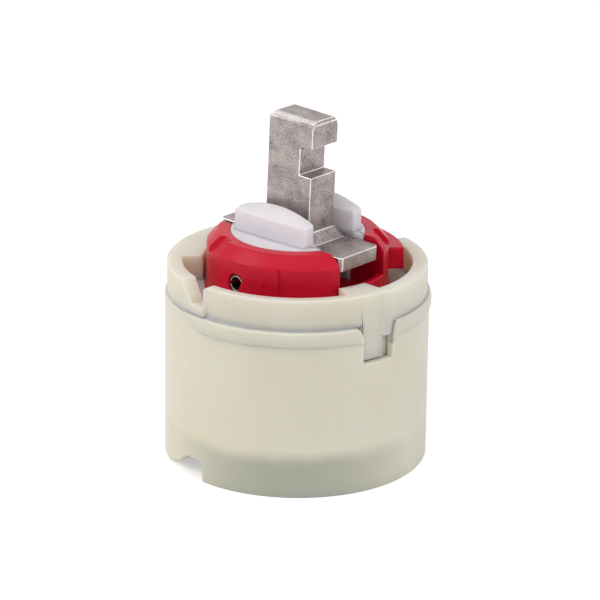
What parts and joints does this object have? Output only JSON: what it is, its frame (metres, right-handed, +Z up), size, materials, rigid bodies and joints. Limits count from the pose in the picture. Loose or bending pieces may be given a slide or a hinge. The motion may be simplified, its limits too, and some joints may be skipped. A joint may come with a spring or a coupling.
{
  "type": "mixer tap cartridge",
  "caption": "Single-lever mixer tap cartridge: cream sleeve and housing, red rotor ring, white guide cheeks and a grey metal lever with a screw notch.",
  "frame": {"origin": "centre of the flat seating face under the base plate, on the axis that the rotor turns about", "axes": "+Z up the cartridge's axis towards the lever; X is the way the lever tilts, with the screw notch towards +X; Y is the axis of the lever's pin"},
  "size_m": [0.0472, 0.0474, 0.063],
  "materials": {
    "sleeve_plastic": "moulded, satin, slightly translucent",
    "housing_plastic": "moulded, satin, slightly translucent",
    "base_plastic": "moulded, matt dark grey",
    "seal_rubber": "moulded, matt",
    "disc_ceramic": "lapped alumina",
    "thrust_plastic": "turned, smooth",
    "rotor_plastic": "moulded, satin red",
    "cheek_plastic": "moulded, satin white",
    "pin_steel": "rolled spring steel",
    "lever_metal": "sintered, fine satin grain",
    "carrier_plastic": "moulded, satin",
    "insert_steel": "perforated sheet"
  },
  "bodies": {
    "housing": {"sleeve": "sleeve_plastic", "upper_housing": "housing_plastic", "base_plate": "base_plastic", "lower_seal_cold": "seal_rubber", "lower_seal_hot": "seal_rubber", "lower_seal_mixed": "seal_rubber", "upper_seal_cold": "seal_rubber", "upper_seal_hot": "seal_rubber", "upper_seal_mixed": "seal_rubber", "fixed_disc": "disc_ceramic", "thrust_ring": "thrust_plastic"},
    "rotor": {"rotor": "rotor_plastic", "guide_cheek_front": "cheek_plastic", "guide_cheek_rear": "cheek_plastic", "lever_pin": "pin_steel"},
    "lever": {"lever": "lever_metal"},
    "slider": {"disc_carrier": "carrier_plastic", "moving_disc": "disc_ceramic", "chamber_seal": "seal_rubber", "noise_insert": "insert_steel"}
  },
  "joints": [
    {"name": "rotor_turn", "type": "hinge", "parent": "housing", "child": "rotor", "pos_m": [0, 0, 0.029], "axis": [0, 0, 1], "range_deg": [-47.5, 47.5]},
    {"name": "lever_tilt", "type": "hinge", "parent": "rotor", "child": "lever", "pos_m": [0, 0, 0.03527], "axis": [0, 1, 0], "range_deg": [-14.8, 10.2]},
    {"name": "disc_slide", "type": "slide", "parent": "rotor", "child": "slider", "axis": [1, 0, 0], "range_m": [-0.0029, 0.0042]}
  ],
  "couplings": [
    {"joint": "disc_slide", "follows": "lever_tilt", "m_per_rad": -0.01614}
  ]
}
